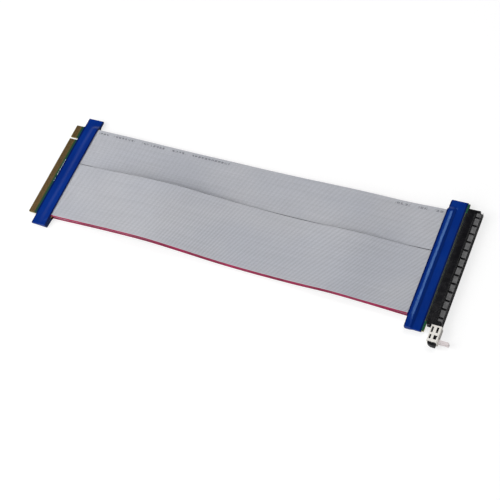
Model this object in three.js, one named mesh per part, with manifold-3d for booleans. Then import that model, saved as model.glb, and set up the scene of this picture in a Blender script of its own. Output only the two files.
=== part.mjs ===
// A 300 mm graphics card riser cable: a card-edge plug board and a 164-way card socket, joined by
// two layers of flat ribbon cable whose ends lie under blue shrink sleeves.
// Millimetres, +Z up. X runs along the cable, from the plug to the socket, and the part lies on z = 0.
import * as THREE from 'three';
import { mergeVertices } from 'three/addons/utils/BufferGeometryUtils.js';
import Module from 'manifold-3d';

const wasm = await Module();
wasm.setup();

// Contacts, the same on the plug's tab and in the socket
const CONTACT_PITCH = 1.0;
const SHORT_ROW = 11;
const LONG_ROW = 71;
const KEY_PITCHES = 3;
const KEY_WIDTH = 1.9;
const KEY_DEPTH = 7.7;
const KEY_PLAY = 0.2;

// Boards
const BOARD_WIDTH = 100.2;
const BOARD_THICKNESS = 1.57;
const PLUG_BOARD_DEPTH = 13.4;
const SOCKET_BOARD_DEPTH = 13.4;
const TAB_DEPTH = 8.2;
const TAB_MARGIN = 0.65;
const TAB_CORNER = 0.6;
const TAB_BEVEL_LENGTH = 0.5;
const TAB_BEVEL_DROP = 0.45;

// Gold fingers on both faces of the tab
const FINGER_WIDTH = 0.7;
const FINGER_LENGTH = 4.3;
const FINGER_INSET = 0.1;
const FINGER_RAISE = 0.06;
const FUSE = 0.05;

// Ribbon cable: two ribbons side by side in each of two layers
const WIRE_PITCH = 1.0;
const WIDE_RIBBON_WIRES = 50;
const NARROW_RIBBON_WIRES = 34;
const RIBBON_THICKNESS = 0.9;
const RIBBON_RIB = 0.18;
const RIBBON_SIDE_GAP = 0.3;
const RIBBON_OVERLAP = 3.0;
const SOLDER_GAP = 0.45;
const CABLE_SPAN = 292.9;
const ROUTE_STEPS = 6;

// Heights of the ribbons' middles above the table, at nine even places between their two ends
const UPPER_WIDE_ROUTE = [6.0, 8.4, 9.4, 7.1, 4.3, 3.3, 4.0, 6.1, 5.1];
const LOWER_WIDE_ROUTE = [4.0, 7.0, 8.1, 5.8, 3.0, 2.0, 2.7, 4.7, 3.4];
const UPPER_NARROW_ROUTE = [4.3, 3.4, 3.1, 2.9, 2.5, 2.8, 3.4, 4.0, 3.9];
const LOWER_NARROW_ROUTE = [2.3, 1.9, 1.7, 1.5, 1.1, 1.4, 2.0, 2.6, 2.2];

// Shrink sleeves
const FILM_THICKNESS = 0.3;
const FILM_CLEARANCE = 0.3;
const FILM_SIDE_CLEARANCE = 0.2;
const FILM_CORNER = 0.35;
const FILM_OVERHANG = 0.45;
const FILM_SHOULDER_WIDTH = 3.2;
const FILM_SLOPE_LENGTH = 3.6;
const FILM_LIP = 1.1;
const FILM_SHOULDER_CREEP = 0.1;
const SOCKET_BOARD_SHOWING = 2.0;

// Socket housing
const HOUSING_DEPTH = 10.45;
const HOUSING_THICKNESS = 7.5;
const HOUSING_FAR_END = 45.1;
const HOUSING_NEAR_END = -44.5;
const HOUSING_STANDOFF = 0.4;
const HOUSING_REAR_CHAMFER = 0.3;
const MOUTH_THICKNESS = 5.0;
const SLOT_GAP = 1.9;
const SLOT_DEPTH = 8.2;
const SLOT_END_PLAY = 0.25;
const LEAD_IN_DEPTH = 0.6;
const LEAD_IN_RISE = 0.5;
const CAVITY_WIDTH = 0.75;
const CAVITY_DEPTH = 0.95;
const CAVITY_LENGTH = 6.8;
const CHANNEL_FROM_MOUTH = 5.05;
const CHANNEL_WIDTH = 1.3;
const CHANNEL_DEPTH = 0.75;
const PAD_DROP = 0.25;
const PAD_COUNT = 14;
const PAD_PITCH = 6.56;
const GROOVE_WIDTH = 1.0;
const GROOVE_FLOOR = 2.35;
const RIM_WIDTH = 1.25;
const STEP_DEPTH = 1.4;
const STEP_WIDTH = 2.1;
const STEP_SLOPE = 0.6;
const LUG_LENGTH = 2.6;
const LUG_REACH = 1.8;
const LUG_THICKNESS = 3.2;
const LUG_INSET = 0.3;

// Spring contacts
const CONTACT_WIDTH = 0.45;
const CONTACT_THICKNESS = 0.25;
const TAIL_LENGTH = 1.6;
const CONTACT_FLAT = 0.5;
const CONTACT_REACH = 6.2;
const CONTACT_DIP = 0.3;
const CONTACT_PLAY = 0.25;

// Card lock: a white slide on a black arm at the socket's near end
const ARM_WIDTH = 5.3;
const ARM_THICKNESS = 4.0;
const ARM_LENGTH = 15.6;
const ARM_FROM_MOUTH = 0.4;
const ARM_TIP_CHAMFER = 2.2;
const HOOK_GAP = 1.9;
const HOOK_GAP_DEPTH = 3.7;
const HOOK_GAP_ROOT = 1.0;
const HOOK_GAP_END = 11.0;
const LATCH_GAP = 0.3;
const LATCH_LENGTH = 11.6;
const LATCH_SIDE_WALL = 0.65;
const LATCH_FACE_WALL = 1.0;
const LATCH_BRIDGE = 4.0;
const LATCH_EDGE = 0.3;
const LEVER_REACH = 7.3;
const LEVER_WIDTH = 2.0;
const LEVER_THICKNESS = 3.8;
const LEVER_DROP = 0.25;
const LEVER_FROM_END = 1.0;
const LEVER_CHAMFER = 0.5;

// The lock's windows, from its rear outer face and from its far end
const WINDOWS = [
  { along: [1.1, 2.0], across: [1.6, 5.2] },
  { along: [4.3, 5.5], across: [1.5, 5.1] },
  { along: [1.1, 2.0], across: [7.2, 10.0] },
  { along: [3.8, 5.8], across: [7.3, 9.8] },
  { along: [5.7, 6.2], across: [7.3, 7.9] },
];

// How far a cutting shape runs past what it cuts, and the steps in a quarter of an arc
const OVERRUN = 1;
const ARC_STEPS = 8;

// Sizes that follow
const ROW_LENGTH = (SHORT_ROW + LONG_ROW - 2 + KEY_PITCHES) * CONTACT_PITCH;
const TAB_WIDTH = ROW_LENGTH + 2 * TAB_MARGIN;
const KEY_Y = ROW_LENGTH / 2 - (SHORT_ROW - 1 + KEY_PITCHES / 2) * CONTACT_PITCH;
const HALF_BOARD = BOARD_THICKNESS / 2;
const RIBBON_OFFSET = HALF_BOARD + SOLDER_GAP + RIBBON_THICKNESS / 2;
const RIBBONS_WIDTH = (WIDE_RIBBON_WIRES + NARROW_RIBBON_WIRES) * WIRE_PITCH;
const FILM_FLAT = HALF_BOARD + FILM_SIDE_CLEARANCE;
const FILM_RAISED = RIBBON_OFFSET + RIBBON_THICKNESS / 2 + FILM_CLEARANCE;
const PLUG_REAR = TAB_DEPTH + PLUG_BOARD_DEPTH;
const SOCKET_X = PLUG_REAR + CABLE_SPAN;
const PLUG_Z = FILM_RAISED + FILM_THICKNESS;
const SOCKET_Z = HOUSING_THICKNESS / 2;
const HOUSING_REAR = SOCKET_BOARD_DEPTH + HOUSING_STANDOFF;
const MOUTH = HOUSING_REAR + HOUSING_DEPTH;
const SLOT_FLOOR = MOUTH - SLOT_DEPTH;
const SLOT_END = TAB_WIDTH / 2 + SLOT_END_PLAY;
const LATCH_FAR_END = HOUSING_NEAR_END - LATCH_GAP;
const LATCH_NEAR_END = LATCH_FAR_END - LATCH_LENGTH;
const ARM_FRONT = MOUTH - ARM_FROM_MOUTH;
const ARM_REAR = ARM_FRONT - ARM_WIDTH;

// Finishes
const finish = (color, roughness, metalness = 0) =>
  new THREE.MeshStandardMaterial({ color, roughness, metalness });
const GREEN_BOARD = finish('#0c5a34', 0.45);
const BLUE_FILM = finish('#00268c', 0.25);
const GREY_JACKET = finish('#b2b4bc', 0.5);
const BLACK_NYLON = finish('#161419', 0.55);
const WHITE_NYLON = finish('#f6f2ea', 0.5);

// A closed geometry as a solid that can be cut and joined
function solid(geometry) {
  const bare = new THREE.BufferGeometry();
  bare.setAttribute('position', geometry.getAttribute('position'));
  bare.setIndex(geometry.getIndex());
  const merged = mergeVertices(bare, 1e-5);
  const vertProperties = new Float32Array(merged.getAttribute('position').array);
  const triVerts = new Uint32Array(merged.getIndex().array);
  return new wasm.Manifold(new wasm.Mesh({ numProp: 3, vertProperties, triVerts }));
}

const join = (solids) => solids.reduce((all, one) => all.add(one));

// A box from its two limits along each axis
function box([x0, x1], [y0, y1], [z0, z1]) {
  const geometry = new THREE.BoxGeometry(x1 - x0, y1 - y0, z1 - z0);
  geometry.translate((x0 + x1) / 2, (y0 + y1) / 2, (z0 + z1) / 2);
  return solid(geometry);
}

const outline = (points) => new THREE.Shape(points.map(([a, b]) => new THREE.Vector2(a, b)));

function extruded(shape, depth) {
  return new THREE.ExtrudeGeometry(shape, { depth, bevelEnabled: false, curveSegments: ARC_STEPS });
}

// An outline in plan, between two heights
function slab(shape, [z0, z1]) {
  return solid(extruded(shape, z1 - z0).translate(0, 0, z0));
}

// A section in X and Z, run along Y
function bar(points, [y0, y1]) {
  return solid(extruded(outline(points), y1 - y0).rotateX(Math.PI / 2).translate(0, y1, 0));
}

// The same limits on the upper and on the lower side of the middle plane
const bothSides = (low, high) => [[low, high], [-high, -low]];

// The middles of all contacts across the board, from the short group to the long one
function contactRows() {
  const rows = [];
  for (let i = 0; i < SHORT_ROW + LONG_ROW; i += 1) {
    const skipped = i < SHORT_ROW ? 0 : KEY_PITCHES - 1;
    rows.push(ROW_LENGTH / 2 - (i + skipped) * CONTACT_PITCH);
  }
  return rows;
}

// Plug board: tab with bevelled edge, key notch with a round end, and its fingers
function plugOutline() {
  const half = BOARD_WIDTH / 2;
  const tab = TAB_WIDTH / 2;
  const shape = new THREE.Shape();
  shape.moveTo(PLUG_REAR, -half);
  shape.lineTo(PLUG_REAR, half);
  shape.lineTo(TAB_DEPTH, half);
  shape.lineTo(TAB_DEPTH, tab);
  shape.lineTo(TAB_CORNER, tab);
  shape.lineTo(0, tab - TAB_CORNER);
  shape.lineTo(0, KEY_Y + KEY_WIDTH / 2);
  shape.lineTo(KEY_DEPTH - KEY_WIDTH / 2, KEY_Y + KEY_WIDTH / 2);
  shape.absarc(KEY_DEPTH - KEY_WIDTH / 2, KEY_Y, KEY_WIDTH / 2, Math.PI / 2, -Math.PI / 2, true);
  shape.lineTo(0, KEY_Y - KEY_WIDTH / 2);
  shape.lineTo(0, TAB_CORNER - tab);
  shape.lineTo(TAB_CORNER, -tab);
  shape.lineTo(TAB_DEPTH, -tab);
  shape.lineTo(TAB_DEPTH, -half);
  return shape;
}

function tabBevel(side) {
  const flat = HALF_BOARD - TAB_BEVEL_DROP;
  const slope = TAB_BEVEL_DROP / TAB_BEVEL_LENGTH;
  const corner = [
    [-OVERRUN, side * (flat - slope * OVERRUN)],
    [TAB_BEVEL_LENGTH, side * HALF_BOARD],
    [TAB_BEVEL_LENGTH, side * (HALF_BOARD + OVERRUN)],
    [-OVERRUN, side * (HALF_BOARD + OVERRUN)],
  ];
  const points = side > 0 ? corner : corner.reverse();
  return bar(points, [-TAB_WIDTH, TAB_WIDTH]);
}

function plugBoard() {
  const start = TAB_BEVEL_LENGTH + FINGER_INSET;
  const along = [start, start + FINGER_LENGTH];
  const fingers = contactRows().flatMap((y) =>
    bothSides(HALF_BOARD - FUSE, HALF_BOARD + FINGER_RAISE).map((height) =>
      box(along, [y - FINGER_WIDTH / 2, y + FINGER_WIDTH / 2], height)));
  return slab(plugOutline(), [-HALF_BOARD, HALF_BOARD])
    .subtract(tabBevel(1))
    .subtract(tabBevel(-1))
    .add(join(fingers));
}

// Socket board with its spring contacts: a tail on the board, a flat run through the housing's
// rear wall, and a spring that dips into the slot
function contact(y, side) {
  const outer = HALF_BOARD + CONTACT_THICKNESS;
  const points = [
    [SOCKET_BOARD_DEPTH - TAIL_LENGTH, side * HALF_BOARD],
    [SLOT_FLOOR + CONTACT_FLAT, side * HALF_BOARD],
    [SLOT_FLOOR + CONTACT_REACH, side * (HALF_BOARD - CONTACT_DIP)],
    [SLOT_FLOOR + CONTACT_REACH, side * (outer - CONTACT_DIP)],
    [SOCKET_BOARD_DEPTH - TAIL_LENGTH, side * outer],
  ];
  const ordered = side > 0 ? points : points.reverse();
  return bar(ordered, [y - CONTACT_WIDTH / 2, y + CONTACT_WIDTH / 2]);
}

function socketBoard() {
  const half = BOARD_WIDTH / 2;
  const contacts = contactRows().flatMap((y) => [contact(y, 1), contact(y, -1)]);
  return box([0, SOCKET_BOARD_DEPTH], [-half, half], [-HALF_BOARD, HALF_BOARD]).add(join(contacts));
}

// Ribbon section, ribbed over each wire on its outward face; the face that lies towards the
// other layer is plain. outward is 1 for the upper layer and -1 for the lower one.
function ribbonSection(wires, outward) {
  const half = (wires * WIRE_PITCH - RIBBON_SIDE_GAP) / 2;
  const top = RIBBON_THICKNESS / 2;
  const points = [];
  for (let i = 0; i < wires; i += 1) {
    const middle = (i + 0.5 - wires / 2) * WIRE_PITCH;
    if (i > 0) {
      points.push([middle - WIRE_PITCH / 2, top - RIBBON_RIB]);
    }
    points.push([middle, top]);
  }
  points.push([half, top - RIBBON_RIB], [half, -top + RIBBON_RIB], [half - RIBBON_RIB, -top]);
  points.push([RIBBON_RIB - half, -top], [-half, -top + RIBBON_RIB], [-half, top - RIBBON_RIB]);
  return outline(points.map(([y, z]) => [-y, -outward * z]));
}

// One ribbon, from over the plug board to over the socket board
function ribbon(wires, middleY, layer, heights) {
  const start = PLUG_REAR - RIBBON_OVERLAP;
  const end = SOCKET_X + RIBBON_OVERLAP;
  const levels = [PLUG_Z + layer * RIBBON_OFFSET, ...heights, SOCKET_Z + layer * RIBBON_OFFSET];
  const points = levels.map((z, i) => {
    const x = start + (end - start) * i / (levels.length - 1);
    return new THREE.Vector3(x, middleY, z);
  });
  const extrudePath = new THREE.CatmullRomCurve3(points);
  const options = { extrudePath, steps: ROUTE_STEPS, bevelEnabled: false };
  return new THREE.ExtrudeGeometry(ribbonSection(wires, layer), options);
}

// One loop round the sleeve's wall in Y and Z, flat over the board and raised over the ribbons
function filmLoop(wall, lift) {
  const side = BOARD_WIDTH / 2 + FILM_SIDE_CLEARANCE + wall;
  const low = FILM_FLAT + wall;
  const high = low + lift * (FILM_RAISED - FILM_FLAT);
  const raised = RIBBONS_WIDTH / 2 + FILM_SIDE_CLEARANCE;
  const quarter = [
    [side, low - FILM_CORNER],
    [side - FILM_CORNER, low],
    [raised + FILM_SHOULDER_WIDTH, low],
    [raised, high],
  ];
  const upper = [...quarter, ...quarter.map(([y, z]) => [-y, z]).reverse()];
  return [...upper, ...upper.map(([y, z]) => [y, -z]).reverse()];
}

// A one-piece tube through stations along X: outside one way, and inside the way back.
// lip is how far the film creeps over the tab, between the board's shoulders.
function sleeve(stations, lip = 0) {
  const place = (wall) => ([x, lift], index) => filmLoop(wall, lift).map(([y, z]) => {
    const overTab = index === 0 && Math.abs(y) < TAB_WIDTH / 2 + FILM_SHOULDER_WIDTH;
    return [overTab ? x - lip : x, y, z];
  });
  const loops = [
    ...stations.map(place(FILM_THICKNESS)),
    ...stations.map(place(0)).reverse(),
  ];
  const count = loops[0].length;
  const index = [];
  loops.forEach((_, k) => {
    const next = (k + 1) % loops.length;
    for (let j = 0; j < count; j += 1) {
      const [a, b] = [k * count + j, k * count + (j + 1) % count];
      const [c, d] = [next * count + j, next * count + (j + 1) % count];
      index.push(a, b, d, a, d, c);
    }
  });
  const geometry = new THREE.BufferGeometry();
  geometry.setAttribute('position', new THREE.Float32BufferAttribute(loops.flat(2), 3));
  geometry.setIndex(index);
  return geometry;
}

function plugSleeve() {
  const ribbonStart = PLUG_REAR - RIBBON_OVERLAP - FILM_CLEARANCE;
  return sleeve([
    [TAB_DEPTH - FILM_SHOULDER_CREEP, 0],
    [ribbonStart - FILM_SLOPE_LENGTH, 0],
    [ribbonStart, 1],
    [PLUG_REAR + FILM_OVERHANG, 1],
  ], FILM_LIP);
}

function socketSleeve() {
  const ribbonEnd = RIBBON_OVERLAP + FILM_CLEARANCE;
  return sleeve([
    [-FILM_OVERHANG, 1],
    [ribbonEnd, 1],
    [ribbonEnd + FILM_SLOPE_LENGTH, 0],
    [SOCKET_BOARD_DEPTH - SOCKET_BOARD_SHOWING, 0],
  ]);
}

// Socket housing: a body that tapers to its mouth, with a lengthwise channel and sloping pads
function housingBody() {
  const half = HOUSING_THICKNESS / 2;
  const channel = MOUTH - CHANNEL_FROM_MOUTH;
  const pad = channel + CHANNEL_WIDTH;
  const upper = [
    [MOUTH, MOUTH_THICKNESS / 2],
    [pad, half - PAD_DROP],
    [pad, half - CHANNEL_DEPTH],
    [channel, half - CHANNEL_DEPTH],
    [channel, half],
    [HOUSING_REAR + HOUSING_REAR_CHAMFER, half],
    [HOUSING_REAR, half - HOUSING_REAR_CHAMFER],
  ];
  const section = [...upper, ...upper.map(([x, z]) => [x, -z]).reverse()];
  return bar(section, [HOUSING_NEAR_END, HOUSING_FAR_END]);
}

// Grooves that part the pads, on both faces, short of the rim round the mouth
function padGrooves() {
  const middle = (HOUSING_FAR_END + HOUSING_NEAR_END) / 2;
  const from = MOUTH - CHANNEL_FROM_MOUTH + CHANNEL_WIDTH / 2;
  const grooves = [];
  for (let i = 1; i < PAD_COUNT; i += 1) {
    const y = middle + (i - PAD_COUNT / 2) * PAD_PITCH;
    bothSides(GROOVE_FLOOR, HOUSING_THICKNESS).forEach((height) => {
      const across = [y - GROOVE_WIDTH / 2, y + GROOVE_WIDTH / 2];
      grooves.push(box([from, MOUTH - RIM_WIDTH], across, height));
    });
  }
  return join(grooves);
}

// The card slot in its two lengths, either side of the key, with a lead-in at the mouth, a slit
// through the rear wall for the contacts and a cavity for each spring
function cardSlot() {
  const rib = KEY_WIDTH / 2 - KEY_PLAY;
  const gap = SLOT_GAP / 2;
  const wide = gap + LEAD_IN_RISE;
  const lengths = [[KEY_Y + rib, SLOT_END], [-SLOT_END, KEY_Y - rib]];
  const leadIn = [
    [MOUTH - LEAD_IN_DEPTH, -gap],
    [MOUTH, -wide],
    [MOUTH + OVERRUN, -wide],
    [MOUTH + OVERRUN, wide],
    [MOUTH, wide],
    [MOUTH - LEAD_IN_DEPTH, gap],
  ];
  const slots = lengths.flatMap((across) => [
    box([SLOT_FLOOR, MOUTH + OVERRUN], across, [-gap, gap]),
    bar(leadIn, across),
  ]);
  const outer = gap + CAVITY_DEPTH;
  const keyEdge = (KEY_PITCHES - 1) / 2 * CONTACT_PITCH;
  const rowEnd = (ROW_LENGTH + CONTACT_PITCH) / 2;
  const groups = [[KEY_Y + keyEdge, rowEnd], [-rowEnd, KEY_Y - keyEdge]];
  const slits = groups.flatMap((across) =>
    bothSides(HALF_BOARD - CONTACT_PLAY, outer).map((height) =>
      box([HOUSING_REAR - OVERRUN, SLOT_FLOOR + FUSE], across, height)));
  const cavityRun = [SLOT_FLOOR, SLOT_FLOOR + CAVITY_LENGTH];
  const cavities = contactRows().flatMap((y) =>
    bothSides(gap - FUSE, outer).map((height) =>
      box(cavityRun, [y - CAVITY_WIDTH / 2, y + CAVITY_WIDTH / 2], height)));
  return join([...slots, ...slits, ...cavities]);
}

// The mouth's far corner steps back towards the board
function cornerStep() {
  const side = HOUSING_FAR_END - STEP_WIDTH;
  const shape = outline([
    [MOUTH - STEP_DEPTH, HOUSING_FAR_END + OVERRUN],
    [MOUTH - STEP_DEPTH, side + STEP_SLOPE],
    [MOUTH, side],
    [MOUTH + OVERRUN, side],
    [MOUTH + OVERRUN, HOUSING_FAR_END + OVERRUN],
  ]);
  return slab(shape, [-HOUSING_THICKNESS, HOUSING_THICKNESS]);
}

function rearLug() {
  const start = HOUSING_REAR + LUG_INSET;
  const half = LUG_THICKNESS / 2;
  const shape = outline([
    [start, HOUSING_NEAR_END + FUSE],
    [start, HOUSING_NEAR_END - LUG_REACH / 2],
    [start + LUG_REACH / 2, HOUSING_NEAR_END - LUG_REACH],
    [start + LUG_LENGTH, HOUSING_NEAR_END - LUG_REACH],
    [start + LUG_LENGTH, HOUSING_NEAR_END + FUSE],
  ]);
  return slab(shape, [-half, half]);
}

// The arm that carries the lock, split along its middle for the card's hook
function latchArm() {
  const end = HOUSING_NEAR_END - ARM_LENGTH;
  const half = ARM_THICKNESS / 2;
  const shape = outline([
    [ARM_FRONT, HOUSING_NEAR_END + FUSE],
    [ARM_REAR, HOUSING_NEAR_END + FUSE],
    [ARM_REAR, end + ARM_TIP_CHAMFER],
    [ARM_REAR + ARM_TIP_CHAMFER, end],
    [ARM_FRONT, end],
  ]);
  const hookGap = box(
    [ARM_FRONT - HOOK_GAP_DEPTH, ARM_FRONT + OVERRUN],
    [HOUSING_NEAR_END - HOOK_GAP_END, HOUSING_NEAR_END - HOOK_GAP_ROOT],
    [-HOOK_GAP / 2, HOOK_GAP / 2],
  );
  return slab(shape, [-half, half]).subtract(hookGap);
}

function slotHousing() {
  return housingBody()
    .subtract(padGrooves())
    .subtract(cardSlot())
    .subtract(cornerStep())
    .add(rearLug())
    .add(latchArm());
}

// The lock: a rectangular sleeve on the arm, four windows in each face, open towards the card
// over most of its length, with a thumb lever on the bridge that catches the card's hook
function latch() {
  const rear = ARM_REAR - LATCH_GAP;
  const front = ARM_FRONT + LATCH_GAP;
  const inner = ARM_THICKNESS / 2 + LATCH_GAP;
  const outer = inner + LATCH_FACE_WALL;
  const outerRear = rear - LATCH_SIDE_WALL;
  const outerFront = front + LATCH_SIDE_WALL;
  const across = [LATCH_NEAR_END, LATCH_FAR_END];
  const section = [
    [outerFront, outer - LATCH_EDGE],
    [outerFront - LATCH_EDGE, outer],
    [outerRear + LATCH_EDGE, outer],
    [outerRear, outer - LATCH_EDGE],
  ];
  const body = bar([...section, ...section.map(([x, z]) => [x, -z]).reverse()], across);
  const boreRun = [LATCH_NEAR_END - OVERRUN, LATCH_FAR_END + OVERRUN];
  const bore = box([rear, front], boreRun, [-inner, inner]);
  const mouth = box(
    [front - FUSE, outerFront + OVERRUN],
    [LATCH_NEAR_END + LATCH_BRIDGE, LATCH_FAR_END + OVERRUN],
    [-HOOK_GAP / 2, HOOK_GAP / 2],
  );
  const windows = WINDOWS.map(({ along, across: [from, to] }) => box(
    [outerRear + along[0], outerRear + along[1]],
    [LATCH_FAR_END - to, LATCH_FAR_END - from],
    [-outer - OVERRUN, outer + OVERRUN],
  ));
  return body.subtract(bore).subtract(mouth).subtract(join(windows)).add(lever(outerFront));
}

function lever(root) {
  const tip = root + LEVER_REACH;
  const near = LATCH_NEAR_END + LEVER_FROM_END;
  const half = LEVER_THICKNESS / 2;
  const shape = outline([
    [root - FUSE, near],
    [tip - LEVER_CHAMFER, near],
    [tip, near + LEVER_CHAMFER],
    [tip, near + LEVER_WIDTH - LEVER_CHAMFER],
    [tip - LEVER_CHAMFER, near + LEVER_WIDTH],
    [root - FUSE, near + LEVER_WIDTH],
  ]);
  return slab(shape, [-half - LEVER_DROP, half - LEVER_DROP]);
}

// A named mesh of a solid or a geometry
function mesh(name, shape, material) {
  if (shape.isBufferGeometry) {
    return Object.assign(new THREE.Mesh(shape, material), { name });
  }
  const { vertProperties, triVerts } = shape.getMesh();
  const geometry = new THREE.BufferGeometry();
  geometry.setAttribute('position', new THREE.BufferAttribute(vertProperties, 3));
  geometry.setIndex(new THREE.BufferAttribute(triVerts, 1));
  geometry.computeVertexNormals();
  return Object.assign(new THREE.Mesh(geometry, material), { name });
}

const plugEnd = new THREE.Group();
plugEnd.position.set(0, 0, PLUG_Z);
plugEnd.add(mesh('plug_board', plugBoard(), GREEN_BOARD));
plugEnd.add(mesh('plug_sleeve', plugSleeve(), BLUE_FILM));

const socketEnd = new THREE.Group();
socketEnd.position.set(SOCKET_X, 0, SOCKET_Z);
socketEnd.add(mesh('socket_board', socketBoard(), GREEN_BOARD));
socketEnd.add(mesh('socket_sleeve', socketSleeve(), BLUE_FILM));
socketEnd.add(mesh('slot_housing', slotHousing(), BLACK_NYLON));
socketEnd.add(mesh('card_latch', latch(), WHITE_NYLON));

const cable = new THREE.Group();
const narrowY = (RIBBONS_WIDTH - NARROW_RIBBON_WIRES * WIRE_PITCH) / 2;
const wideY = (WIDE_RIBBON_WIRES * WIRE_PITCH - RIBBONS_WIDTH) / 2;
const RIBBONS = [
  { name: 'upper_ribbon_34', wires: NARROW_RIBBON_WIRES, y: narrowY, layer: 1, route: UPPER_NARROW_ROUTE },
  { name: 'upper_ribbon_50', wires: WIDE_RIBBON_WIRES, y: wideY, layer: 1, route: UPPER_WIDE_ROUTE },
  { name: 'lower_ribbon_34', wires: NARROW_RIBBON_WIRES, y: narrowY, layer: -1, route: LOWER_NARROW_ROUTE },
  { name: 'lower_ribbon_50', wires: WIDE_RIBBON_WIRES, y: wideY, layer: -1, route: LOWER_WIDE_ROUTE },
];
RIBBONS.forEach(({ name, wires, y, layer, route }) => {
  cable.add(mesh(name, ribbon(wires, y, layer, route), GREY_JACKET));
});

// The origin is the middle of the whole part's footprint, on the table
const leverTip = SOCKET_X + ARM_FRONT + LATCH_GAP + LATCH_SIDE_WALL + LEVER_REACH;
const sleeveSide = BOARD_WIDTH / 2 + FILM_SIDE_CLEARANCE + FILM_THICKNESS;
const armEnd = HOUSING_NEAR_END - ARM_LENGTH;
const part = new THREE.Group();
part.position.set(-leverTip / 2, -(sleeveSide + armEnd) / 2, 0);
part.add(plugEnd, cable, socketEnd);

const riser = new THREE.Group();
riser.add(part);

export default riser;
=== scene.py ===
import math

import bmesh
import bpy
import numpy as np
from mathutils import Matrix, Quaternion, Vector

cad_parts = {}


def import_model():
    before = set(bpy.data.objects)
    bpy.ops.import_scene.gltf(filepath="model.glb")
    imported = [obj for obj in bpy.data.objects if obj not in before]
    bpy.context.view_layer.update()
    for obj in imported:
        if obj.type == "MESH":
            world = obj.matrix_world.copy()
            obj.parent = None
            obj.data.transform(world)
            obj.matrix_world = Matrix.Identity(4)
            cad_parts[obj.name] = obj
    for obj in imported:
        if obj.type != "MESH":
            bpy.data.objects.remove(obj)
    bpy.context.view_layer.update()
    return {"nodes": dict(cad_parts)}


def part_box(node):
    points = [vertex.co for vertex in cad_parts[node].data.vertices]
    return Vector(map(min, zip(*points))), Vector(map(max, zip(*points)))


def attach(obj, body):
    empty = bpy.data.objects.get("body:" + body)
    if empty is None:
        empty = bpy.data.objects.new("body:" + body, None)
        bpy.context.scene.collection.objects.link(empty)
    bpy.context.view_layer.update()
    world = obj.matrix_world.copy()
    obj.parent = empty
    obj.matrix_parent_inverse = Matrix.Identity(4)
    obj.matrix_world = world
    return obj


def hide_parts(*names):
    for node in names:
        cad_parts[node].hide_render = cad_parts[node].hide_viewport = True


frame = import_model()

MM = 0.001

# The part's own measure: millimetres from the plug's tip, the boards' middle line and the table
PLUG_LOW, PLUG_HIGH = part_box("plug_board")
ORIGIN = np.array([PLUG_LOW.x, (PLUG_LOW.y + PLUG_HIGH.y) / 2, 0.0])
PLUG_Z = (PLUG_LOW.z + PLUG_HIGH.z) / 2 / MM
SOCKET_LOW, SOCKET_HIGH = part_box("socket_board")
SOCKET_X = (SOCKET_LOW.x - ORIGIN[0]) / MM
SOCKET_Z = (SOCKET_LOW.z + SOCKET_HIGH.z) / 2 / MM
HALF_BOARD = 0.785

# Camera
LOCATION = (0.299546, -0.288375, 0.612387)
AZIMUTH = 46.70
ELEVATION = 57.36
ROLL = -26.82
LENS = 72.376
SENSOR = 36.0

# Ribbons: a route is the number of wires, the layer (1 upper, -1 lower) and the heights along it
WIRE_RADIUS = 0.45
WEB_HALF = 0.2
ARC_POINTS = 5
STATIONS = 84
RIBBON_OFFSET = HALF_BOARD + 0.9
ROUTES = {
    "upper_ribbon_50": (50, 1, [6.0, 8.4, 9.4, 7.1, 4.3, 3.3, 4.0, 6.1, 5.1]),
    "lower_ribbon_50": (50, -1, [3.1, 5.5, 6.5, 4.6, 2.2, 1.3, 2.1, 4.4, 3.4]),
    "upper_ribbon_34": (34, 1, [4.3, 3.4, 3.1, 2.9, 2.5, 2.8, 3.4, 4.0, 3.9]),
    "lower_ribbon_34": (34, -1, [2.3, 1.9, 1.7, 1.5, 1.1, 1.4, 2.0, 2.6, 2.2]),
}

# Waves of handled ribbons: millimetres to a radian along and across, phase and height
RIPPLES = [(13, 21, 0, 0.12), (29, -17, 2, 0.16)]
RIPPLE_FROM = 18
RIPPLE_TO = 317
RIPPLE_FADE = 30

# Shrink film: where each sleeve starts over the ribbons and how far it runs towards the board
PLUG_LIP = 22.05
PLUG_FILM = 13.95
SOCKET_LIP = SOCKET_X - 0.45
SOCKET_FILM = 12.35
FILM_WALL = 0.15
FILM_FLAT = HALF_BOARD + 0.2
FILM_CORNER = 0.3
FILM_CORNER_ANGLES = (20, 45, 70, 90, 110, 135, 160)
FILM_WIDER = 0.3
FILM_LIP_CORNER = 1.2
FILM_LIP_CORNER_FADE = 4
FILM_SHARP = 14

# The film's points across and its rings: from, to and number at the lip, then along the rest
FILM_ACROSS = 220
FILM_LIP_STATIONS = (0, 0.8, 6)
FILM_BODY_FROM = 1.1
FILM_ALONG = 44

# The film's rise over the ribbons as shares, by distance from its lip and from the middle line
SOCKET_PROFILE = [
    (0.0, 0.9), (1.0, 1.0), (2.4, 1.0), (3.0, 0.965),
    (5.1, 0.59), (5.6, 0.33), (6.3, 0.0), (16.0, 0.0),
]
PLUG_PROFILE = [(0.0, 1.0), (1.5, 0.97), (3.5, 0.86), (9.5, 0.0), (16.0, 0.0)]
FILM_SIDE = [
    (0.0, 1.0), (40.8, 1.0), (42.4, 0.86), (44.0, 0.42), (45.4, 0.08), (46.4, 0.0), (60.0, 0.0),
]
FILM_NEAR_SIDE = [(0.0, 1.0), (41.5, 1.0), (44.0, 0.93), (48.0, 0.76), (51.5, 0.62), (60.0, 0.62)]

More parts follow.
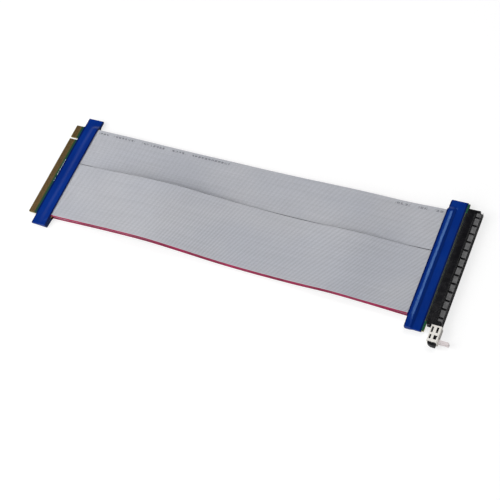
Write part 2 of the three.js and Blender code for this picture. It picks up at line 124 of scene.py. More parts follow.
# The film's longer lip over the tab, its shallow dents, its pinched ends and its creases
TAB_LIP = 0.6
TAB_SIDE = 42.3
TAB_FADE = 0.4
TAB_LIP_FROM = 0.6
DENT_DEPTH = 0.05
DENT_ACROSS = (9.1, 14.7)
DENT_SLANT = 0.5
PINCH_SIDE = 42.5
PINCH_LENGTH = 0.4
PINCH_FADE = 0.25
PINCH_HALF = 0.2
PLUG_CREASES = [
    ((16.5, -48.0), (20.5, -44.5), 0.12, 0.45),
    ((13.0, 42.0), (16.0, 49.0), 0.08, 0.4),
]

# Housing and lock, millimetres from the socket's origin, heights from the boards' middle.
# PAST, CLEAR and TALL are how far the cutting shapes run beyond what they cut.
PAST = 3
CLEAR = 1
TALL = 5

# The mouth, where the channel and the pads start, half heights, and where solid body begins
MOUTH = 24.0
CHANNEL = (19.0, 20.5)
HOUSING_HALF = 3.75
PAD_HALF = (3.5, 3.0)
RIM = 0.4
MOUTH_HALF = 2.6
SOLID_FROM = 2.0

# Limits across: the body's ends, and the pads between the end blocks
ENDS = (-44.5, 45.1)
PADDED = (-41.6, 43.2)

# The far corner's depth and inner limit, and its step's depths
FAR_CORNER = (1.5, 42.9)
FAR_STEP = (1.4, 1.7)
MOUTH_SKIN = 0.01
FACE_SHORT = 0.1

# A groove's width, its floor's half height and the rim before it; the pads' count and pitch
GROOVE = (1.5, 2.35, 0.6)
GROOVE_REAR = 0.85
PADS = (14, 6.56)

# The lug's rear, front and reach; the arm's rear, front and tip; the tip's taper
LUG = (13.0, 17.5, 0.95)
ARM = (18.55, 23.85, -58.6)
ARM_TAPER = (2.2, 1.45)

# The lock, and its windows' limits from its rear and from its far end
LATCH_REAR = 17.6
LATCH_FAR_END = -44.8
LEVER_FROM = (24.7, 25.2)
WINDOWS = [
    (0.8, 2.15, 1.0, 5.4), (4.15, 5.6, 0.9, 5.1), (0.8, 2.15, 6.7, 9.8),
    (3.8, 5.9, 6.7, 9.9), (5.8, 6.3, 6.7, 7.9),
]

# The rounding of the moulded pieces' long sharp edges, with angles in degrees
EDGE_RADIUS = 0.1
SHORTEST_EDGE = 0.8
EDGE_ANGLE = 25
SMOOTH_ANGLE = 28
FLAT_ANGLE = 0.5
MERGE = 1e-6


# Mesh helpers
def placed(points):
    """Points in the part's millimetres as points in the row frame."""
    return ORIGIN + np.asarray(points, float) * MM


def piece(name, points, faces, body="root"):
    """A mesh object that rides on a body, from points in the part's millimetres."""
    mesh = bpy.data.meshes.new(name)
    mesh.from_pydata(placed(points).tolist(), [], faces)
    mesh.validate()
    mesh.polygons.foreach_set("use_smooth", [True] * len(mesh.polygons))
    obj = bpy.data.objects.new(name, mesh)
    bpy.context.scene.collection.objects.link(obj)
    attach(obj, body)
    return obj


def tube_faces(rings, count, closed_ends):
    """Quads between rings of points, and a cap at each end or a last ring joined to the first."""
    faces = []
    for k in range(rings if not closed_ends else rings - 1):
        start, after = k * count, (k + 1) % rings * count
        for j in range(count):
            step = (j + 1) % count
            faces.append((start + j, start + step, after + step, after + j))
    if closed_ends:
        faces.append(tuple(range(count - 1, -1, -1)))
        faces.append(tuple(range((rings - 1) * count, rings * count)))
    return faces


def hermite(values, where):
    """A smooth curve through evenly spaced values, level at both ends."""
    values = np.asarray(values, float)
    slopes = np.zeros_like(values)
    slopes[1:-1] = (values[2:] - values[:-2]) / 2
    where = np.asarray(where) * (len(values) - 1)
    i = np.minimum(where.astype(int), len(values) - 2)
    t = where - i
    return (
        (2 * t**3 - 3 * t**2 + 1) * values[i]
        + (t**3 - 2 * t**2 + t) * slopes[i]
        + (3 * t**2 - 2 * t**3) * values[i + 1]
        + (t**3 - t**2) * slopes[i + 1]
    )


# Ribbons
def ribbon_section(wires, width):
    """Across and up from a ribbon's middle: an arc over each wire, and round edges."""
    pitch = (width - 2 * WIRE_RADIUS) / (wires - 1)
    web = math.acos(WEB_HALF / WIRE_RADIUS)
    upper = []
    for i in range(wires):
        middle = (i - (wires - 1) / 2) * pitch
        first = -math.pi / 2 if i == 0 else -web
        last = math.pi / 2 if i == wires - 1 else web
        for angle in np.linspace(first, last, ARC_POINTS):
            upper.append((middle + WIRE_RADIUS * math.sin(angle), WIRE_RADIUS * math.cos(angle)))
    lower = [(y, -z) for y, z in reversed(upper[1:-1])]
    return np.array(upper + lower)


def ripple(x, y):
    """The slight waviness of ribbons that have been handled, none near the boards."""
    fade = np.clip(np.minimum(x - RIPPLE_FROM, RIPPLE_TO - x) / RIPPLE_FADE, 0, 1)
    waves = [np.sin(x / a + y / b + phase) * height for a, b, phase, height in RIPPLES]
    return sum(waves) * fade


def ribbon(node):
    """A ribbon cable along its route, between the ends of its CAD node."""
    wires, layer, heights = ROUTES[node]
    low, high = (np.array(c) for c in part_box(node))
    start, end = (low - ORIGIN) / MM, (high - ORIGIN) / MM
    along = np.linspace(0, 1, STATIONS)
    levels = [PLUG_Z + layer * RIBBON_OFFSET, *heights, SOCKET_Z + layer * RIBBON_OFFSET]
    x = start[0] + (end[0] - start[0]) * along
    z = hermite(levels, along)
    slope = np.arctan(np.gradient(z, x))
    section = ribbon_section(wires, end[1] - start[1])
    middle = (start[1] + end[1]) / 2
    points = []
    for i in range(STATIONS):
        across = middle + section[:, 0]
        up = section[:, 1]
        lift = ripple(x[i], across)
        points.append(np.stack([
            x[i] - up * math.sin(slope[i]),
            across,
            z[i] + lift + up * math.cos(slope[i]),
        ], axis=1))
    faces = tube_faces(STATIONS, len(section), True)
    obj = piece(node + "_jacket", np.concatenate(points), faces)
    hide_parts(node)
    return obj


# Shrink film
def film_share(table, where):
    """A smooth reading of a table of (distance, share)."""
    places, shares = np.array(table).T
    slopes = np.gradient(shares, places)
    i = np.clip(np.searchsorted(places, where, side="right") - 1, 0, len(places) - 2)
    gap = places[i + 1] - places[i]
    t = (where - places[i]) / gap
    return (
        (2 * t**3 - 3 * t**2 + 1) * shares[i]
        + (t**3 - 2 * t**2 + t) * slopes[i] * gap
        + (3 * t**2 - 2 * t**3) * shares[i + 1]
        + (t**3 - t**2) * slopes[i + 1] * gap
    ).clip(0, 1)


def film_loop(side):
    """Across, and which face, for one turn round the film: 1 on top, -1 below, 0 between."""
    reach = side - FILM_CORNER
    top = [(y, 1.0, 0.0) for y in np.linspace(-reach, reach, FILM_ACROSS)]
    bend = [(math.sin(a), math.cos(a)) for a in np.radians(FILM_CORNER_ANGLES)]
    right = [(reach, c, s) for s, c in bend]
    bottom = [(y, -1.0, 0.0) for y in np.linspace(reach, -reach, FILM_ACROSS)]
    left = [(-reach, -c, -s) for s, c in bend]
    return np.array(top + right + bottom + left)


def film(node, lip, direction, length, mid_z, profile, tab_lip=0.0, creases=()):
    """A sleeve of film from its lip over the ribbons to its end over the board.
    direction is 1 where the board lies on the lip's +X side and -1 where it lies on the other.
    Each crease is a ridge from one point in plan to another, with its height and half-width."""
    low, high = (np.array(c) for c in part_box(node))
    side = (high[1] - low[1]) / 2 / MM + FILM_WIDER
    raised = (high[2] - low[2]) / 2 / MM
    loop = film_loop(side)
    y0, face, out = loop.T
    reach = np.abs(y0)
    sides = np.where(y0 < 0, film_share(FILM_NEAR_SIDE, reach), film_share(FILM_SIDE, reach))
    stations = np.concatenate([
        np.linspace(*FILM_LIP_STATIONS),
        np.linspace(FILM_BODY_FROM, length, FILM_ALONG),
    ])
    bend = np.clip(reach - (side - FILM_LIP_CORNER), 0, FILM_LIP_CORNER)
    inset = FILM_LIP_CORNER - np.sqrt(FILM_LIP_CORNER**2 - bend**2)
    over_tab = 1 - np.clip((reach - TAB_SIDE) / TAB_FADE, 0, 1)
    shells = []
    for wall in (0.0, FILM_WALL):
        rings = []
        for u in stations:
            run = u + tab_lip * over_tab * max(0.0, (u / length - TAB_LIP_FROM) / (1 - TAB_LIP_FROM))
            run = run + inset * max(0.0, 1 - u / FILM_LIP_CORNER_FADE)
            x = lip + direction * run
            y = y0 + out * (FILM_CORNER - wall)
            share = film_share(profile, run) * sides
            height = FILM_FLAT + (raised - FILM_FLAT) * share
            dents = np.sin(y0 / DENT_ACROSS[0] + run * DENT_SLANT) * np.sin(y0 / DENT_ACROSS[1])
            height = height - DENT_DEPTH * np.abs(dents) * share
            at_lip = np.clip((PINCH_LENGTH - u) / PINCH_FADE, 0, 1)
            pinch = np.clip(reach - PINCH_SIDE, 0, 1) * at_lip
            height = height * (1 - pinch) + PINCH_HALF * pinch
            for start, end, lift, half in creases:
                gap = segment_gap(x, y0, start, end)
                height = height + lift * np.exp(-((gap / half) ** 2)) * (face > 0)
            z = mid_z + face * (height - wall)
            rings.append(np.stack([x, y, z], axis=1))
        shells.append(rings)
    rings = shells[0] + shells[1][::-1]
    count = len(loop)
    obj = piece(node + "_film", np.concatenate(rings), tube_faces(len(rings), count, False))
    obj.data.set_sharp_from_angle(angle=math.radians(FILM_SHARP))
    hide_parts(node)
    return obj


def segment_gap(x, y, start, end):
    """How far points in plan lie from a straight line between two points."""
    (x0, y0), (x1, y1) = start, end
    length = math.hypot(x1 - x0, y1 - y0)
    share = np.clip(((x - x0) * (x1 - x0) + (y - y0) * (y1 - y0)) / length**2, 0, 1)
    return np.hypot(x - x0 - share * (x1 - x0), y - y0 - share * (y1 - y0))


# Moulded pieces
def prism(points, low, high, along):
    """Corners and faces of an outline run along an axis: 1 takes x and z, 2 takes x and y."""
    ordered = points if along == 2 else points[::-1]
    area = sum(a[0] * b[1] - b[0] * a[1] for a, b in zip(ordered, ordered[1:] + ordered[:1]))
    if (area > 0) != (along == 2):
        ordered = ordered[::-1]
    corners = []
    for level in (low, high):
        corners += [(a, level, b) if along == 1 else (a, b, level) for a, b in ordered]
    n = len(ordered)
    sides = [(i, (i + 1) % n, n + (i + 1) % n, n + i) for i in range(n)]
    return corners, [tuple(range(n - 1, -1, -1)), tuple(range(n, 2 * n)), *sides]


def carve(obj, prisms, operation):
    """Cut prisms from an object or add them to it, in millimetres from the socket's origin."""
    corners, faces = [], []
    for more, sides in prisms:
        faces += [tuple(i + len(corners) for i in side) for side in sides]
        corners += more
    mesh = bpy.data.meshes.new("tool")
    shifted = np.array(corners) + (SOCKET_X, 0, SOCKET_Z)
    mesh.from_pydata(placed(shifted).tolist(), [], faces)
    work = bmesh.new()
    work.from_mesh(mesh)
    bmesh.ops.recalc_face_normals(work, faces=work.faces)
    work.to_mesh(mesh)
    work.free()
    tool = bpy.data.objects.new("tool", mesh)
    bpy.context.scene.collection.objects.link(tool)
    cut = obj.modifiers.new("carve", "BOOLEAN")
    cut.operation = operation
    cut.solver = "EXACT"
    cut.object = tool
    graph = bpy.context.evaluated_depsgraph_get()
    made = bpy.data.meshes.new_from_object(obj.evaluated_get(graph))
    obj.modifiers.remove(cut)
    obj.data = made
    bpy.data.objects.remove(tool)


def both_faces(points, low, high):
    """The same section on the upper and on the lower face."""
    return [prism([(x, side * z) for x, z in points], low, high, 1) for side in (1, -1)]


def refine_housing(obj):
    """Steeper-fronted pads, wider grooves, full-height end blocks, and the ends' real corners."""
    channel, pad = CHANNEL
    near, far = ENDS
    pads = [
        (pad, PAD_HALF[0]), (MOUTH - RIM, PAD_HALF[1]), (MOUTH, MOUTH_HALF),
        (MOUTH, SOLID_FROM), (pad, SOLID_FROM),
    ]
    chamfer = HOUSING_HALF - MOUTH_HALF
    block = [
        (channel, HOUSING_HALF), (MOUTH - chamfer, HOUSING_HALF), (MOUTH, MOUTH_HALF),
        (MOUTH, SOLID_FROM), (channel, SOLID_FROM),
    ]
    carve(obj, both_faces(pads, *PADDED), "UNION")
    carve(obj, both_faces(block, near, PADDED[0]) + both_faces(block, PADDED[1], far), "UNION")
    deep, inner = FAR_CORNER
    corner = [(MOUTH - deep, inner), (MOUTH, inner), (MOUTH, far), (MOUTH - deep, far)]
    carve(obj, [prism(corner, -SOLID_FROM, SOLID_FROM, 2)], "UNION")
    front, from_near, to_far = MOUTH + 2 * CLEAR, near - FACE_SHORT, far + CLEAR
    face = [(MOUTH, from_near), (front, from_near), (front, to_far), (MOUTH, to_far)]
    lug_rear, lug_front, lug_reach = LUG
    lug = [
        (lug_rear, near - lug_reach), (lug_front, near - lug_reach),
        (lug_front, near - PAST), (lug_rear, near - PAST),
    ]
    rear, front, tip = ARM
    along, across = ARM_TAPER
    arm = [
        (rear - CLEAR, tip - PAST), (rear - CLEAR, tip + across), (rear + along, tip),
        (front + CLEAR, tip), (front + CLEAR, tip - PAST),
    ]
    carve(obj, [prism(points, -TALL, TALL, 2) for points in (face, lug, arm)], "DIFFERENCE")
    shallow, steep = FAR_STEP
    step = [
        (MOUTH - shallow, far + CLEAR), (MOUTH - shallow, far - shallow),
        (MOUTH - MOUTH_SKIN, far - steep), (MOUTH - MOUTH_SKIN, far + CLEAR),
    ]
    carve(obj, [prism(step, -TALL, TALL, 2)], "DIFFERENCE")
    width, floor_half, rim = GROOVE
    count, pitch = PADS
    grooves = []
    for i in range(1, count):
        middle = (near + far) / 2 + (i - count / 2) * pitch
        rear, front = channel + GROOVE_REAR, MOUTH - rim
        plan = [(rear, floor_half), (front, floor_half), (front, TALL), (rear, TALL)]
        grooves += both_faces(plan, middle - width / 2, middle + width / 2)
    carve(obj, grooves, "DIFFERENCE")


def refine_latch(obj):
    """The lock's windows at their full size."""
    for x0, x1, y0, y1 in WINDOWS:
        corners = ((x0, y0), (x1, y0), (x1, y1), (x0, y1))
        plan = [(LATCH_REAR + x, LATCH_FAR_END - y) for x, y in corners]
        carve(obj, [prism(plan, -TALL, TALL, 2)], "DIFFERENCE")


def weld(mesh):
    """Join a mesh's doubled corners."""
    work = bmesh.new()
    work.from_mesh(mesh)
    bmesh.ops.remove_doubles(work, verts=work.verts, dist=MERGE)
    work.to_mesh(mesh)
    work.free()


def moulded(node, body, refine):
    """A refined copy of a CAD node with its long sharp edges rounded."""
    obj = bpy.data.objects.new(node + "_moulding", frame["nodes"][node].data.copy())
    bpy.context.scene.collection.objects.link(obj)
    weld(obj.data)
    refine(obj)
    mesh = obj.data
    work = bmesh.new()
    work.from_mesh(mesh)
    bmesh.ops.remove_doubles(work, verts=work.verts, dist=MERGE)
    flat = math.radians(FLAT_ANGLE)
    bmesh.ops.dissolve_limit(work, angle_limit=flat, verts=work.verts, edges=work.edges)
    sharp = [
        e for e in work.edges
        if len(e.link_faces) == 2 and e.is_convex
        and e.calc_face_angle() > math.radians(EDGE_ANGLE) and e.calc_length() > SHORTEST_EDGE * MM
    ]
    bmesh.ops.bevel(
        work, geom=sharp, offset=EDGE_RADIUS * MM, segments=2, profile=0.7, affect="EDGES",
        clamp_overlap=True,
    )
    bmesh.ops.recalc_face_normals(work, faces=work.faces)
    work.to_mesh(mesh)
    work.free()
    mesh.materials.clear()
    mesh.polygons.foreach_set("use_smooth", [True] * len(mesh.polygons))
    mesh.set_sharp_from_angle(angle=math.radians(SMOOTH_ANGLE))
    weighted = obj.modifiers.new("weighted normals", "WEIGHTED_NORMAL")
    weighted.keep_sharp = True
    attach(obj, body)
    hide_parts(node)
    return obj


# Materials
class Surface:
    """A procedural material, with short calls for the nodes that it uses."""

    FACTOR, FIRST, SECOND, RESULT = 0, 6, 7, 2

    def __init__(self, name, **settings):
        self.material = bpy.data.materials.new(name)
        self.material.use_nodes = True
        self.tree = self.material.node_tree
        self.shader = self.tree.nodes["Principled BSDF"]
        for key, value in settings.items():
            self.shader.inputs[key.replace("_", " ")].default_value = value
        self.place = self.add("ShaderNodeTexCoord").outputs["Object"]
        self.x, self.y, self.z = self.add("ShaderNodeSeparateXYZ", {0: self.place}).outputs

    def put(self, socket, value):
        if isinstance(value, bpy.types.NodeSocket):
            self.tree.links.new(value, socket)
        else:
            socket.default_value = value

    def add(self, kind, inputs=None, **settings):
        node = self.tree.nodes.new(kind)
        for key, value in settings.items():
            setattr(node, key, value)
        for key, value in (inputs or {}).items():
            self.put(node.inputs[key], value)
        return node

    def math(self, operation, *values):
        return self.add("ShaderNodeMath", dict(enumerate(values)), operation=operation).outputs[0]

    def mix(self, factor, first, second):
        node = self.add("ShaderNodeMix", data_type="RGBA")
        for socket, value in ((self.FACTOR, factor), (self.FIRST, first), (self.SECOND, second)):
            self.put(node.inputs[socket], (*value, 1.0) if isinstance(value, tuple) else value)
        return node.outputs[self.RESULT]

    def ramp(self, value, start, end, low=0.0, high=1.0):
        inputs = {"Value": value, "From Min": start, "From Max": end, "To Min": low, "To Max": high}
        return self.add("ShaderNodeMapRange", inputs, interpolation_type="SMOOTHSTEP").outputs["Result"]

    def noise(self, scale, detail=2.0, stretch=(1.0, 1.0, 1.0), low=0.3, high=0.7):
        """Noise between 0 and 1, scale in features per metre."""
        moved = self.add("ShaderNodeMapping", {"Vector": self.place, "Scale": stretch}).outputs["Vector"]
        found = self.add("ShaderNodeTexNoise", {"Vector": moved, "Scale": scale, "Detail": detail})
        return self.ramp(found.outputs["Fac"], low, high)

    def band(self, value, start, end, soft):
        """1 between two limits and 0 outside them."""
        rise = self.ramp(value, start - soft, start + soft)
        fall = self.ramp(value, end - soft, end + soft, 1.0, 0.0)
        return self.math("MULTIPLY", rise, fall)

    def either(self, *masks):
        total = masks[0]
        for mask in masks[1:]:
            total = self.math("MAXIMUM", total, mask)
        return total

    def bump(self, height, distance, strength=1.0, below=None):
        inputs = {"Height": height, "Distance": distance, "Strength": strength}
        if below is not None:
            inputs["Normal"] = below
        return self.add("ShaderNodeBump", inputs).outputs["Normal"]

    def finish(self, colour=None, roughness=None, normal=None, metallic=None):
        for key, value in (
            ("Base Color", colour), ("Roughness", roughness), ("Normal", normal), ("Metallic", metallic)
        ):
            if value is not None:
                self.put(self.shader.inputs[key], value)
        return self.material


def dress(obj, material):
    obj.data.materials.clear()
    obj.data.materials.append(material)


# Ribbon colours, and how soft the limits between colours are
GREY = (0.54, 0.547, 0.583)
GREY_COOL = (0.50, 0.515, 0.568)
# Painted shade in the grooves between the wires
GROOVE_SHADE = (0.14, 0.145, 0.16)
# Painted shade along the seam between the two ribbons
SEAM_SHADE = (0.05, 0.05, 0.055)
CRIMSON = (0.4, 0.014, 0.085)
CRIMSON_DARK = (0.24, 0.008, 0.05)
FADED_PINK = (0.46, 0.2, 0.26)
INK = (0.1, 0.1, 0.12)
CRISP = 0.05 * MM
SOFT = 0.1 * MM

# Limits across: the seam between the ribbons, the crimson wire and the tinted far edge
SEAM = 7.95
SEAM_HALF = 0.35
RED_WIRE = (-42.1, -40.9)
FAR_EDGE = 41.7

# The worn print on one ribbon: ink dashes, their period, the line's limits across and its spans
DASH = 2.1
DASH_PERIOD = 2.9
PRINT_LINE = (38.2, 39.9)
PRINT = [
    (24.5, 33.5), (38.5, 58.0), (65.0, 71.0), (73.0, 85.5), (92.5, 104.5), (110.5, 143.0),
    (277.0, 288.0), (294.0, 301.0), (306.0, 313.0),
]


def row_x(x):
    """A place along the part as a coordinate in the row frame; row_y is the same across it."""
    return float(ORIGIN[0] + x * MM)


def row_y(y):
    return float(ORIGIN[1] + y * MM)


def jacket(node, stripe=None, edge=None, printed=()):
    """Satin grey vinyl, with painted shade in its grooves and at the edge beside the other ribbon.
    stripe is the coloured wire's limits across, edge where a far edge's tint starts, and printed
    the spans of the print."""
    low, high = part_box(node)
    pitch = (high.y - low.y - 2 * WIRE_RADIUS * MM) / (ROUTES[node][0] - 1)
    s = Surface(node + "_vinyl", Specular_IOR_Level=0.4)
    broad = s.noise(14.0, 2.0, (1.0, 1.6, 1.0))
    wire = s.noise(60.0, 1.0, (0.25, 16.0, 0.0))
    speck = s.noise(2600.0, 2.0)
    colour = s.mix(broad, GREY, GREY_COOL)
    colour = s.mix(s.math("MULTIPLY", wire, 0.18), colour, (0.30, 0.31, 0.34))
    colour = s.mix(s.math("MULTIPLY", speck, 0.06), colour, (0.6, 0.6, 0.62))
    # Painted shade in the grooves between the wires
    from_wire = s.math("PINGPONG", s.math("SUBTRACT", s.y, low.y + WIRE_RADIUS * MM), pitch / 2)
    groove = s.ramp(from_wire, 0.26 * pitch, 0.5 * pitch)
    colour = s.mix(s.math("MULTIPLY", groove, 0.8), colour, GROOVE_SHADE)
    # Painted shade along the seam between the two ribbons
    seam = s.band(s.y, row_y(SEAM - SEAM_HALF), row_y(SEAM + SEAM_HALF), CRISP)
    colour = s.mix(seam, colour, SEAM_SHADE)
    if stripe:
        mask = s.band(s.y, row_y(stripe[0]), row_y(stripe[1]), CRISP)
        tone = s.mix(s.noise(50.0, 2.0, (1.0, 3.0, 1.0)), CRIMSON, CRIMSON_DARK)
        colour = s.mix(mask, colour, tone)
    if edge:
        mask = s.ramp(s.y, row_y(edge) - SOFT, row_y(edge) + SOFT)
        colour = s.mix(s.math("MULTIPLY", mask, 0.8), colour, FADED_PINK)
    if printed:
        gap = (DASH_PERIOD - DASH) / 2 * MM
        dashes = s.ramp(s.math("PINGPONG", s.x, DASH_PERIOD * MM / 2), gap - SOFT, gap + SOFT)
        spans = s.either(*(s.band(s.x, row_x(a), row_x(b), SOFT) for a, b in printed))
        line = s.band(s.y, row_y(PRINT_LINE[0]), row_y(PRINT_LINE[1]), 1.5 * SOFT)
        ink = s.math("MULTIPLY", s.math("MULTIPLY", dashes, spans), line)
        worn = s.noise(900.0, 2.0, low=0.35, high=0.55)
        ink = s.math("MULTIPLY", ink, s.math("MULTIPLY", worn, 0.75))
        colour = s.mix(ink, colour, INK)
    rough = s.ramp(s.noise(40.0, 3.0), 0.0, 1.0, 0.42, 0.56)
    normal = s.bump(speck, 0.01 * MM, 0.5)
    return s.finish(colour, rough, normal)


# How far the film's painted shade at its borders reaches in and out from its lips, and the band at the
# plug's tab
FOLD_SHADE_IN = 1.1
FOLD_SHADE_OUT = 0.5
TAB_FOLD_SHADE = (7.0, 8.9)


def blue_film(borders):
    """Glossy film over dark board, with painted shade in bands where it folds at the borders."""
    s = Surface("blue_film", Specular_IOR_Level=0.42, Specular_Tint=(0.3, 0.62, 1.0, 1.0))
    depth = s.noise(55.0, 2.0, (1.4, 0.6, 1.0))
    colour = s.mix(depth, (0.0006, 0.021, 0.2), (0.0008, 0.027, 0.235))
    # Painted shade in bands where the film folds at its borders
    edges = s.either(*(s.band(s.x, row_x(a), row_x(b), 0.25 * MM) for a, b in borders))
    colour = s.mix(s.math("MULTIPLY", edges, 0.8), colour, (0.0004, 0.003, 0.06))
    scuff = s.noise(700.0, 3.0, (1.0, 0.12, 1.0), 0.56, 0.75)
    colour = s.mix(s.math("MULTIPLY", scuff, 0.08), colour, (0.02, 0.07, 0.3))
    rough = s.ramp(s.noise(120.0, 3.0), 0.0, 1.0, 0.16, 0.22)
    waves = s.bump(s.noise(60.0, 1.0, (1.0, 0.35, 1.0)), 0.08 * MM, 0.25)
    normal = s.bump(s.noise(1500.0, 2.0), 0.004 * MM, 0.3, waves)
    return s.finish(colour, rough, normal)


def black_nylon():
    """Dark moulded nylon with a fine grain."""
    s = Surface("black_nylon", Specular_IOR_Level=0.32)
    cloud = s.noise(150.0, 3.0)
    colour = s.mix(cloud, (0.0018, 0.0016, 0.0032), (0.003, 0.0027, 0.0046))
    rough = s.ramp(s.noise(300.0, 3.0), 0.0, 1.0, 0.22, 0.29)
    normal = s.bump(s.noise(5200.0, 3.0), 0.008 * MM, 0.25)
    return s.finish(colour, rough, normal)


def white_nylon():
    """Milky nylon, pinker on the thumb lever."""
    s = Surface("white_nylon", Specular_IOR_Level=0.45)
    cloud = s.noise(200.0, 3.0)
    colour = s.mix(cloud, (0.83, 0.80, 0.745), (0.86, 0.835, 0.785))
    lever = s.ramp(s.x, *(row_x(SOCKET_X + x) for x in LEVER_FROM))
    colour = s.mix(lever, colour, (0.76, 0.69, 0.69))
    rough = s.ramp(s.noise(400.0, 3.0), 0.0, 1.0, 0.38, 0.5)
    normal = s.bump(s.noise(4200.0, 3.0), 0.008 * MM, 0.5)
    return s.finish(colour, rough, normal)


# Board colours, from the solder mask to the white print
MASK = (0.003, 0.06, 0.022)
MASK_TRACE = (0.004, 0.1, 0.04)
LAMINATE = (0.47, 0.40, 0.13)
BARE = (0.10, 0.085, 0.03)
FIBRE = (0.28, 0.21, 0.075)
GOLD = (0.52, 0.30, 0.13)
# Tin of the socket's tails and contacts, darkened almost to black as painted shade
TIN_IN_SHADE = (0.05, 0.055, 0.05)
# Painted shade on the plug's mask between the bare laminate and the film
MASK_SHADE = (0.006, 0.045, 0.02)
SHADED = (0.006, 0.009, 0.006)
OLIVE = (0.11, 0.12, 0.06)
SILK = (0.62, 0.68, 0.74)

# Limits along the boards: the fingers, the bare laminate, the tails from the socket board's edge,
# the shade behind them with its olive line, and the contacts beyond the board
FINGERS = (0.5, 5.0)
BARE_TO = 5.7
TAILS = (11.8, 30.0)
SHADED_FROM = 11.9
SHADED_SIDE = 43.0
OLIVE_LINE = 0.55
CONTACTS_FROM = (13.41, 13.43)
PROUD = (0.004, 0.012)

# White marks beside the plug's film: their limits along, then the far end and length of each
MARK_LINE = (7.0, 7.7)
MARKS = [
    (9.6, 1.5), (7.2, 0.8), (5.8, 2.6), (2.5, 1.2), (0.6, 2.0),
    (-2.4, 0.8), (-4.0, 1.6), (-8.6, 0.8), (-10.6, 1.0),
]


def board(name, mid_z, metal_tone, metal_from, metal_to, bare_to=None, marks=(), shaded=None):
    """Green solder mask over glass laminate, with plated metal where it stands proud of the faces.
    bare_to is where bare laminate ends, and shaded where the row of soldered tails starts."""
    s = Surface(name, Specular_IOR_Level=0.25)
    facing = s.add("ShaderNodeNewGeometry").outputs["True Normal"]
    up = s.add("ShaderNodeSeparateXYZ", {0: facing}).outputs[2]
    face = s.ramp(s.math("ABSOLUTE", up), 0.85, 0.95)
    trace = s.add("ShaderNodeTexWave", {"Vector": s.place, "Scale": 160.0, "Distortion": 0.0},
                  wave_type="BANDS", bands_direction="Y").outputs["Fac"]
    colour = s.mix(s.ramp(trace, 0.55, 0.75), MASK, MASK_TRACE)
    if bare_to is not None:
        bare = s.ramp(s.x, row_x(bare_to) - CRISP, row_x(bare_to) + CRISP, 1.0, 0.0)
        # Beyond the bare laminate the mask is darkened as painted shade
        colour = s.mix(bare, s.mix(0.7, colour, MASK_SHADE), BARE)
    if shaded is not None:
        row = s.band(s.y, row_y(-SHADED_SIDE), row_y(SHADED_SIDE), SOFT)
        tails = s.ramp(s.x, row_x(shaded), row_x(shaded + 0.1))
        colour = s.mix(s.math("MULTIPLY", row, tails), colour, SHADED)
        line = s.band(s.x, row_x(shaded), row_x(shaded + OLIVE_LINE), SOFT)
        colour = s.mix(s.math("MULTIPLY", row, line), colour, OLIVE)
    for top, length in marks:
        along = s.band(s.x, row_x(MARK_LINE[0]), row_x(MARK_LINE[1]), CRISP)
        across = s.band(s.y, row_y(top - length), row_y(top), SOFT)
        colour = s.mix(s.math("MULTIPLY", along, across), colour, SILK)
    fibre = s.noise(900.0, 2.0, (0.15, 0.15, 6.0))
    edge = s.mix(fibre, LAMINATE, FIBRE)
    colour = s.mix(face, edge, colour)
    height = s.math("ABSOLUTE", s.math("SUBTRACT", s.z, mid_z * MM))
    proud = s.ramp(height, (HALF_BOARD + PROUD[0]) * MM, (HALF_BOARD + PROUD[1]) * MM)
    zone = s.band(s.x, row_x(metal_from), row_x(metal_to), 0.01 * MM)
    beyond = s.ramp(s.x, *(row_x(SOCKET_X + x) for x in CONTACTS_FROM))
    metal = s.either(s.math("MULTIPLY", proud, zone), beyond)
    tone = s.mix(s.noise(500.0, 2.0), metal_tone, tuple(c * 0.8 for c in metal_tone))
    colour = s.mix(metal, colour, tone)
    rough = s.ramp(metal, 0.0, 1.0, 0.38, 0.3)
    normal = s.bump(s.noise(1800.0, 2.0), 0.006 * MM, 0.5)
    return s.finish(colour, rough, normal, metal)


# Camera, at the photo's angle
def camera():
    azimuth, elevation = math.radians(AZIMUTH), math.radians(ELEVATION)
    back = Vector((
        math.sin(azimuth) * math.cos(elevation),
        -math.cos(azimuth) * math.cos(elevation),
        math.sin(elevation),
    ))
    data = bpy.data.cameras.new("camera")
    data.sensor_width = SENSOR
    data.lens = LENS
    data.clip_start = 0.01
    obj = bpy.data.objects.new("camera", data)
    bpy.context.scene.collection.objects.link(obj)
    obj.rotation_mode = "QUATERNION"
    level = (-back).to_track_quat("-Z", "Y")
    obj.rotation_quaternion = Quaternion(back, math.radians(ROLL)) @ level
    obj.location = LOCATION
    bpy.context.scene.camera = obj


# Floor, world and lamps. The camera sees a floor that glows a little; other rays see a grey one
FLOOR_HALF = 3.0
FLOOR_GREY = (0.5, 0.5, 0.5, 1.0)
SEEN_GREY = (0.36, 0.36, 0.36, 1.0)
SEEN_GLOW = 0.7

# The sky's strength by the sine of the elevation; each lamp's direction, distance, size and power
SKY = {"From Min": 0.1, "From Max": 0.45, "To Min": 0.8, "To Max": 0.12}
LAMPS = {
    "key": ((0.24, 0.43, 0.87), 1.3, 0.45, 4.0),
    "fill": ((-0.6, -0.4, 0.7), 1.25, 1.1, 13.5),
    "near": ((0.15, -0.95, 0.3), 1.4, 0.7, 6.0),
}


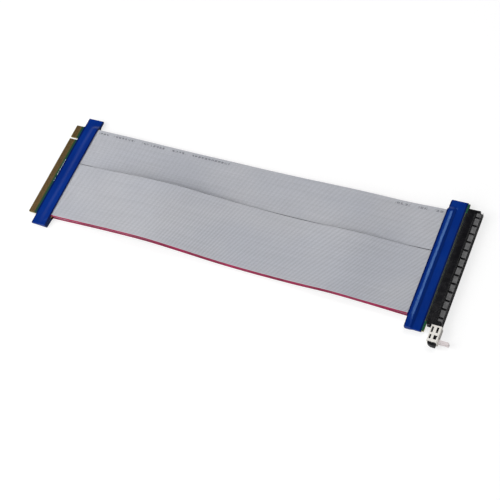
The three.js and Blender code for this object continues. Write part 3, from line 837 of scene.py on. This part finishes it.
def floor():
    """A plain pale floor that keeps the part's shadow."""
    half = FLOOR_HALF
    corners = [(-half, -half, 0), (half, -half, 0), (half, half, 0), (-half, half, 0)]
    mesh = bpy.data.meshes.new("floor")
    mesh.from_pydata(corners, [], [(0, 1, 2, 3)])
    obj = bpy.data.objects.new("floor", mesh)
    bpy.context.scene.collection.objects.link(obj)
    material = bpy.data.materials.new("pale_floor")
    material.use_nodes = True
    tree = material.node_tree
    tree.nodes.clear()
    output = tree.nodes.new("ShaderNodeOutputMaterial")
    path = tree.nodes.new("ShaderNodeLightPath")
    pale = tree.nodes.new("ShaderNodeBsdfDiffuse")
    pale.inputs["Color"].default_value = FLOOR_GREY
    seen = tree.nodes.new("ShaderNodeBsdfDiffuse")
    seen.inputs["Color"].default_value = SEEN_GREY
    glow = tree.nodes.new("ShaderNodeEmission")
    glow.inputs["Strength"].default_value = SEEN_GLOW
    both = tree.nodes.new("ShaderNodeAddShader")
    choose = tree.nodes.new("ShaderNodeMixShader")
    link = tree.links.new
    link(seen.outputs[0], both.inputs[0])
    link(glow.outputs[0], both.inputs[1])
    link(path.outputs["Is Camera Ray"], choose.inputs[0])
    link(pale.outputs[0], choose.inputs[1])
    link(both.outputs[0], choose.inputs[2])
    link(choose.outputs[0], output.inputs["Surface"])
    mesh.materials.append(material)


def world():
    """Light that fades from the horizon to the zenith, and white where the camera sees it."""
    made = bpy.data.worlds.new("studio")
    made.use_nodes = True
    tree = made.node_tree
    place = tree.nodes.new("ShaderNodeTexCoord")
    split = tree.nodes.new("ShaderNodeSeparateXYZ")
    fall = tree.nodes.new("ShaderNodeMapRange")
    fall.interpolation_type = "SMOOTHSTEP"
    for key, value in SKY.items():
        fall.inputs[key].default_value = value
    background = tree.nodes["Background"]
    background.inputs["Color"].default_value = (1.0, 1.0, 1.0, 1.0)
    tree.links.new(place.outputs["Generated"], split.inputs[0])
    tree.links.new(split.outputs[2], fall.inputs["Value"])
    path = tree.nodes.new("ShaderNodeLightPath")
    brightest = tree.nodes.new("ShaderNodeMath")
    brightest.operation = "MAXIMUM"
    tree.links.new(fall.outputs["Result"], brightest.inputs[0])
    tree.links.new(path.outputs["Is Camera Ray"], brightest.inputs[1])
    tree.links.new(brightest.outputs[0], background.inputs["Strength"])
    bpy.context.scene.world = made


def lamp(name, towards, distance, size, power):
    """A soft square lamp that faces the middle of the part from a direction."""
    direction = Vector(towards).normalized()
    data = bpy.data.lights.new(name, "AREA")
    data.shape = "SQUARE"
    data.size = size
    data.energy = power
    obj = bpy.data.objects.new(name, data)
    bpy.context.scene.collection.objects.link(obj)
    obj.location = direction * distance
    obj.rotation_mode = "QUATERNION"
    obj.rotation_quaternion = (-direction).to_track_quat("-Z", "Y")


# The scene
camera()
jackets = {
    "upper_ribbon_50": {"stripe": RED_WIRE},
    "lower_ribbon_50": {"stripe": RED_WIRE},
    "upper_ribbon_34": {"edge": FAR_EDGE, "printed": PRINT},
    "lower_ribbon_34": {"edge": FAR_EDGE},
}
for node, details in jackets.items():
    dress(ribbon(node), jacket(node, **details))

socket_end = SOCKET_LIP + SOCKET_FILM
film_material = blue_film([
    (PLUG_LIP - FOLD_SHADE_IN, PLUG_LIP + FOLD_SHADE_OUT),
    TAB_FOLD_SHADE,
    (SOCKET_LIP - FOLD_SHADE_OUT, SOCKET_LIP + FOLD_SHADE_IN),
    (socket_end - FOLD_SHADE_IN, socket_end + FOLD_SHADE_OUT),
])
dress(film(
    "plug_sleeve", PLUG_LIP, -1, PLUG_FILM, PLUG_Z, PLUG_PROFILE, TAB_LIP, PLUG_CREASES,
), film_material)
dress(film(
    "socket_sleeve", SOCKET_LIP, 1, SOCKET_FILM, SOCKET_Z, SOCKET_PROFILE,
), film_material)

dress(frame["nodes"]["plug_board"], board(
    "plug_laminate", PLUG_Z, GOLD, *FINGERS, bare_to=BARE_TO, marks=MARKS,
))
dress(frame["nodes"]["socket_board"], board(
    "socket_laminate", SOCKET_Z, TIN_IN_SHADE, *(SOCKET_X + x for x in TAILS),
    shaded=SOCKET_X + SHADED_FROM,
))
dress(moulded("slot_housing", "root", refine_housing), black_nylon())
dress(moulded("card_latch", "latch", refine_latch), white_nylon())

floor()
world()
for name, settings in LAMPS.items():
    lamp(name, *settings)

bpy.context.scene.view_settings.view_transform = "Standard"
